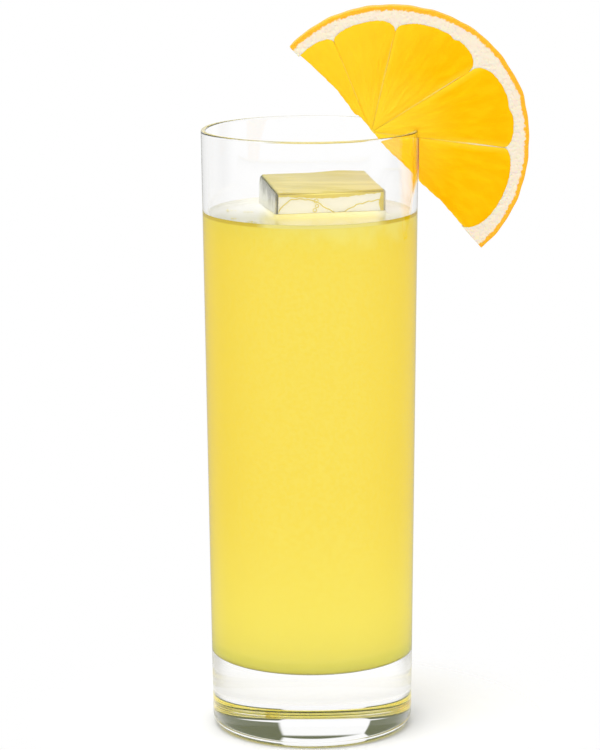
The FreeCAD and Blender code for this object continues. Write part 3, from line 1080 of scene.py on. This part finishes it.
# %% Juicy pulp
PULP_DEEP = (1.0, 0.48, 0.0, 1.0)
PULP_LIGHT = (1.0, 0.525, 0.002, 1.0)
PULP_PALE_AND_LIT = (1.0, 0.63, 0.032, 1.0)
PALE_NEAR_CORE = (27.0, 3.0)
PAINTED_LIGHT_UPWARDS = (20.0, 38.0)
juicy_pulp, tree, shader = new_finish(
    "juicy_orange_pulp",
    Roughness=0.3,
    IOR=1.36,
    Specular_IOR_Level=0.05,
    Subsurface_Weight=0.35,
    Subsurface_Radius=(1.0, 0.5, 0.08),
    Subsurface_Scale=0.0012,
)
grain = kept_value(tree, "grain", "Vector")
stretch = add(tree, "Mapping", {"Vector": grain, "Scale": (0.16, 0.75, 0.3)}).outputs["Vector"]
numbers = {"Vector": stretch, "Scale": 1.0, "Detail": 3.0, "Roughness": 0.55}
sacs = add(tree, "TexNoise", numbers).outputs["Fac"]
sac_colour = mix_colours(tree, remap(tree, sacs, 0.36, 0.66), PULP_DEEP, PULP_LIGHT)
far, round_core, _ = add(tree, "SeparateXYZ", {0: grain}).outputs
inner = remap(tree, far, *PALE_NEAR_CORE, 0.0, 0.85)
# painted light: the pulp paler towards the upper tip, where the lamp falls
upper = remap(tree, round_core, *PAINTED_LIGHT_UPWARDS, 0.0, 0.6)
pale_and_painted_light = calculate(tree, "MAXIMUM", inner, upper, kept_value(tree, "near"))
tree.links.new(mix_colours(tree, pale_and_painted_light, sac_colour, PULP_PALE_AND_LIT), shader.inputs["Base Color"])
fine = add(tree, "Mapping", {"Vector": grain, "Scale": (0.5, 2.2, 1.0)}).outputs["Vector"]
cells = add(tree, "TexVoronoi", {"Vector": fine, "Scale": 1.0}, feature="SMOOTH_F1")
numbers = {"Strength": 0.12, "Distance": 0.0003, "Height": cells.outputs["Distance"]}
bump = add(tree, "Bump", numbers, invert=True)
tree.links.new(bump.outputs["Normal"], shader.inputs["Normal"])
print("pulp finish:", len(tree.nodes), "nodes")

# %% The six pieces of pulp
SLOT_HEIGHT = 160.0
SLOT_GAP = 0.1
stop_inside = (flat_of(bore_radius(SLOT_HEIGHT) - SLOT_GAP, SLOT_HEIGHT), SIDEWAYS)
stop_outside = (flat_of(wall_radius(SLOT_HEIGHT) + SLOT_GAP, SLOT_HEIGHT), -SIDEWAYS)


def centre_of(segment, share=0.6):
    """Point inside a segment, on the line from the core to the middle of its lobe."""
    middle = np.array((segment[0] + segment[1]) / 2)
    return CORE + (on_wheel(lobe_radius(middle, segment), middle) - CORE) * share


def make_pulp(node, segment, centre, cuts=(), **options):
    """One pillow of pulp in its place, in its own skin."""
    rings, grain = pillow(segment_outline(segment), centre, cuts, **options)
    values = {"grain": grain, "near": side_nearness(segment, grain)}
    piece = skin(node.replace("orange_pulp", "pulp"), (rings, values))
    place(piece, juicy_pulp, "orange_pulp", node)


first, *whole, fifth = SEGMENTS
make_pulp("orange_pulp_1", first, on_wheel(17.0, 4.5))
for number, segment in enumerate(whole, 2):
    make_pulp(f"orange_pulp_{number}", segment, centre_of(segment))
make_pulp("orange_pulp_5_inside", fifth, flat_of(25.0, 164.0), (stop_inside,), directions=200)
make_pulp("orange_pulp_5_outside", fifth, flat_of(38.5, 158.5), (stop_outside,))

# %% [markdown]
# ## Pith, peel and membranes in one piece
# The membranes and the core are the same stuff as the pith, so they belong to its piece. Each is
# a thin flat pillow that runs from the core a little past a notch and so ends inside the pith; a
# Boolean union would join them too, but would break the even grid. The membrane that meets the
# glass's wall is made twice, once on either side of it.

# %% Membranes and core joined to the ring
MEMBRANE = 0.5
PAST_NOTCH = 1.6
DEEP = 5.0
WEB_FADE = (24.0, 8.0)


def membrane_outline(segment):
    """Thin strip from the core to a little past the notch at a segment's end."""
    tip = on_wheel(segment[4] + PAST_NOTCH, segment[1])
    ahead = (tip - CORE) / np.linalg.norm(tip - CORE)
    side = np.array([-ahead[1], ahead[0]]) * MEMBRANE / 2
    return np.array([CORE + side, CORE - side, tip - side, tip + side])


def membrane(outline, centre, cuts=()):
    """Rings and values of one membrane: all deep, and web near the core, pith at its tip."""
    rings, grain = pillow(outline, centre, cuts, 64, 6, 0.16, 0.0)
    far = grain[..., 0]
    web = 1 - np.clip((far - WEB_FADE[0]) / WEB_FADE[1], 0, 1)
    return rings, {"grain": grain, "depth": 0 * far + DEEP, "web": web}


strips = [membrane_outline(segment) for segment in SEGMENTS[:4]]
cut_strip = strips.pop()
lean = (cut_strip[2] - cut_strip[1]) / np.linalg.norm(cut_strip[2] - cut_strip[1])
turn = np.linspace(0, 2 * pi, 24, endpoint=False)
hub = CORE + np.stack([np.cos(turn), np.sin(turn)], axis=-1)
joined = [peel_and_pith()]
joined += [membrane(strip, strip.mean(axis=0)) for strip in strips]
joined.append(membrane(cut_strip, CORE + lean * 6.0, (stop_inside,)))
joined.append(membrane(cut_strip, CORE + lean * 26.0, (stop_outside,)))
joined.append(membrane(hub, CORE + [0.0, 0.4]))
orange_skin = skin("orange_peel_pith_membranes", *joined)

# %% [markdown]
# ## Peel and pith finish
# One material paints the whole piece from the depth under the skin: oily orange peel in the first
# millimetre or so, with an uneven border, and spongy pith below it. Two materials would meet in a
# hard line. The pits of the peel and the pores of the pith are a cell pattern used as a bump.

# %% Peel and pith
PITH = (0.84, 0.745, 0.595, 1.0)
PEEL = (0.90, 0.46, 0.006, 1.0)
WEB = (1.0, 0.62, 0.055, 1.0)
PEEL_ENDS = (1.5, 1.15)
BORDER_SHIFT = 0.4
peel_and_pith_finish, tree, shader = new_finish(
    "orange_peel_and_pith",
    Roughness=0.45,
    IOR=1.4,
    Subsurface_Weight=0.5,
    Subsurface_Radius=(1.0, 0.6, 0.25),
    Subsurface_Scale=0.0010,
)
numbers = {"Vector": kept_value(tree, "grain", "Vector"), "Scale": 0.75, "Detail": 2.5}
uneven = add(tree, "TexNoise", numbers).outputs["Fac"]
shift = remap(tree, uneven, 0.25, 0.75, -BORDER_SHIFT, BORDER_SHIFT, "LINEAR")
level = calculate(tree, "ADD", kept_value(tree, "depth"), shift)
pith_colour = mix_colours(tree, kept_value(tree, "web"), PITH, WEB)
colour = mix_colours(tree, remap(tree, level, *PEEL_ENDS), pith_colour, PEEL)
tree.links.new(colour, shader.inputs["Base Color"])
numbers = {"Vector": object_place(tree), "Scale": 1100.0}
pores = add(tree, "TexVoronoi", numbers, feature="SMOOTH_F1").outputs["Distance"]
pit = remap(tree, pores, 0.1, 0.45)
bump = add(tree, "Bump", {"Strength": 0.4, "Distance": 0.0003, "Height": pit})
tree.links.new(bump.outputs["Normal"], shader.inputs["Normal"])
place(orange_skin, peel_and_pith_finish, "orange_pith", "orange_pith")
print("peel and pith finish:", len(tree.nodes), "nodes")

# %% [markdown]
# ## Floor
# The floor is plain and pale and fades out round the glass, so that the page stays white and only
# the soft shadow at the foot is left. A large plane would turn grey towards the horizon, so this
# is a disc that turns clear a few centimetres from the glass.

# %% Floor
FLOOR_RADIUS = 500.0
FLOOR_SINK = 0.05
FLOOR_POINTS = 96
FLOOR_FADE = (0.028, 0.085)
angle = np.linspace(0, 2 * pi, FLOOR_POINTS, endpoint=False)
disc = np.stack([np.cos(angle), np.sin(angle), 0 * angle], axis=-1) * FLOOR_RADIUS
disc[:, 2] = -FLOOR_SINK
floor = new_piece("floor", disc, [list(range(FLOOR_POINTS))], {})
floor_finish, tree, shader = new_finish(
    "pale_floor", Base_Color=(0.93, 0.93, 0.93, 1.0), Roughness=0.9, Specular_IOR_Level=0.0
)
from_axis = add(tree, "VectorMath", {0: object_place(tree)}, operation="LENGTH").outputs["Value"]
clear = add(tree, "BsdfTransparent", {}).outputs[0]
fade = remap(tree, from_axis, *FLOOR_FADE)
blend = add(tree, "MixShader", {0: fade, 1: shader.outputs[0], 2: clear})
tree.links.new(blend.outputs[0], tree.nodes["Material Output"].inputs["Surface"])
floor.data.materials.append(floor_finish)
print("floor fades out from", FLOOR_FADE[0], "to", FLOOR_FADE[1], "m")

# %% [markdown]
# ## World
# Clear glass shows what stands round it, so a plain white world would leave it without edges. An
# image of a studio could be used, but a few slopes of the ray's direction draw a simpler one. What
# lights the object is plain soft white. Only a ray that mirrors off a surface or passes through
# one, before it has met anything matt, sees the studio: a white table and low backdrop, a white
# ceiling, white towards the viewer, a bright window behind the glass, and a dark room elsewhere,
# which draws the dark lines in the base and at the rim. Two grey screens are laid over it: one
# beside the backdrop, seen through the glass only, which gives its sides a soft edge, and one low
# down, seen in mirrored light only, which keeps the wet surfaces from glaring.

# %% The studio that glass and mirrored rays see
SOFT_LIGHT = WHITE
ROOM = (0.12, 0.135, 0.062, 1.0)
SIDE_SCREEN = (0.30, 0.30, 0.27, 1.0)
BELOW_TABLE = (0.22, 0.20)
CEILING = (0.70, 0.85)
TOWARDS_VIEWER = (0.05, -0.15)
WINDOW_LEFT = (-0.46, -0.43)
WINDOW_RIGHT = (0.24, 0.20)
WINDOW_DOWN = (0.56, 0.52)
BESIDE_OUT = (0.9, 2.0)
BESIDE_BACK = (0.02, 0.35)
MIRROR_DOWN = (0.05, -0.05)
MIRROR_BACK = (-0.6, 0.9)
world = bpy.data.worlds.new("studio")
scene.world = world
world.use_nodes = True
tree = world.node_tree
ray = add(tree, "LightPath", {}).outputs
direction = add(tree, "TexCoord", {}).outputs["Generated"]
side, deep, up = add(tree, "SeparateXYZ", {0: direction}).outputs
glossy, passing = ray["Is Glossy Ray"], ray["Is Transmission Ray"]
slant = calculate(tree, "DIVIDE", side, deep)
window_sides = [remap(tree, slant, *WINDOW_LEFT), remap(tree, slant, *WINDOW_RIGHT)]
window = calculate(tree, "MULTIPLY", *window_sides, remap(tree, up, *WINDOW_DOWN))
below, ceiling = remap(tree, up, *BELOW_TABLE), remap(tree, up, *CEILING)
white = calculate(tree, "MAXIMUM", below, ceiling, remap(tree, deep, *TOWARDS_VIEWER), window)
studio_colour = mix_colours(tree, white, ROOM, WHITE)

# %% The screens, and which rays see what
backwards = calculate(tree, "MAXIMUM", deep, 0.001)
outward = calculate(tree, "DIVIDE", calculate(tree, "ABSOLUTE", side), backwards)
beside = remap(tree, outward, *BESIDE_OUT, 0.0, 0.6)
beside = calculate(tree, "MULTIPLY", beside, remap(tree, deep, *BESIDE_BACK), passing)
mirror = calculate(tree, "SUBTRACT", glossy, passing)
mirror_back = remap(tree, deep, *MIRROR_BACK, 0.0, 0.75, "LINEAR")
mirror = calculate(tree, "MULTIPLY", mirror, remap(tree, up, *MIRROR_DOWN), mirror_back)
screen = calculate(tree, "MAXIMUM", beside, mirror)
studio_colour = mix_colours(tree, screen, studio_colour, SIDE_SCREEN)
not_lighting = calculate(tree, "LESS_THAN", ray["Diffuse Depth"], 0.5)
shows_room = calculate(tree, "MULTIPLY", calculate(tree, "MAXIMUM", glossy, passing), not_lighting)
colour = mix_colours(tree, shows_room, SOFT_LIGHT, studio_colour)
colour = mix_colours(tree, ray["Is Camera Ray"], colour, WHITE)
sky = tree.nodes["Background"]
tree.links.new(colour, sky.inputs["Color"])
sky.inputs["Strength"].default_value = 1.0
print("world:", len(tree.nodes), "nodes")

# %% [markdown]
# ## Lamp
# One large soft lamp high at the front left gives the fruit and the drink's top some shape. It is
# hidden from the camera and from light that has passed through glass, where it would show as a
# white square.

# %% Overhead lamp
LAMP_SPOT = (-0.25, -0.35, 0.85)
LAMP_TARGET = (0.0, 0.0, 0.09)
lamp = bpy.data.lights.new("overhead_softbox", "AREA")
lamp.size = 0.6
lamp.energy = 3.2
softbox = bpy.data.objects.new("overhead_softbox", lamp)
softbox.location = LAMP_SPOT
toward = Vector(LAMP_TARGET) - Vector(LAMP_SPOT)
softbox.rotation_mode = "QUATERNION"
softbox.rotation_quaternion = toward.to_track_quat("-Z", "Y")
scene.collection.objects.link(softbox)
softbox.visible_camera = False
softbox.visible_transmission = False
print("lamp:", lamp.size, "m wide,", round(toward.length, 2), "m away")

# %% [markdown]
# ## Camera
# The camera looks slightly down from about a metre away through a long lens, as for a packshot.

# %% Camera
CAMERA_SPOT = (0.0, -0.940, 0.2867)
PITCH, YAW, ROLL = 0.1958, -0.0032, -0.0051
FOCAL_LENGTH = 164.7
ahead = Vector((sin(YAW) * cos(PITCH), cos(YAW) * cos(PITCH), -sin(PITCH)))
right = Vector((cos(YAW), -sin(YAW), 0))
over = right.cross(ahead)
image_right = right * cos(ROLL) + over * sin(ROLL)
image_up = over * cos(ROLL) - right * sin(ROLL)
camera_data = bpy.data.cameras.new("camera")
camera_data.lens = FOCAL_LENGTH
camera_data.sensor_width = 36.0
camera = bpy.data.objects.new("camera", camera_data)
turn = Matrix((image_right, image_up, -ahead)).transposed()
camera.matrix_world = Matrix.Translation(CAMERA_SPOT) @ turn.to_4x4()
scene.collection.objects.link(camera)
scene.camera = camera
scene.view_settings.view_transform = "Standard"
print("camera looks down by", round(PITCH * 180 / pi, 1), "degrees")

# %% [markdown]
# ## Light bounces
# Light crosses many glass surfaces before it leaves the base, so more bounces are allowed. The
# filter for glossy light is off: it blurs mirrored and refracted light after a diffuse bounce,
# which roughens clear glass and would leave the drink behind it much too dark.

# %% Bounces and the filter for glossy light
scene.cycles.max_bounces = 32
scene.cycles.diffuse_bounces = 8
scene.cycles.glossy_bounces = 24
scene.cycles.transmission_bounces = 32
scene.cycles.blur_glossy = 0.0
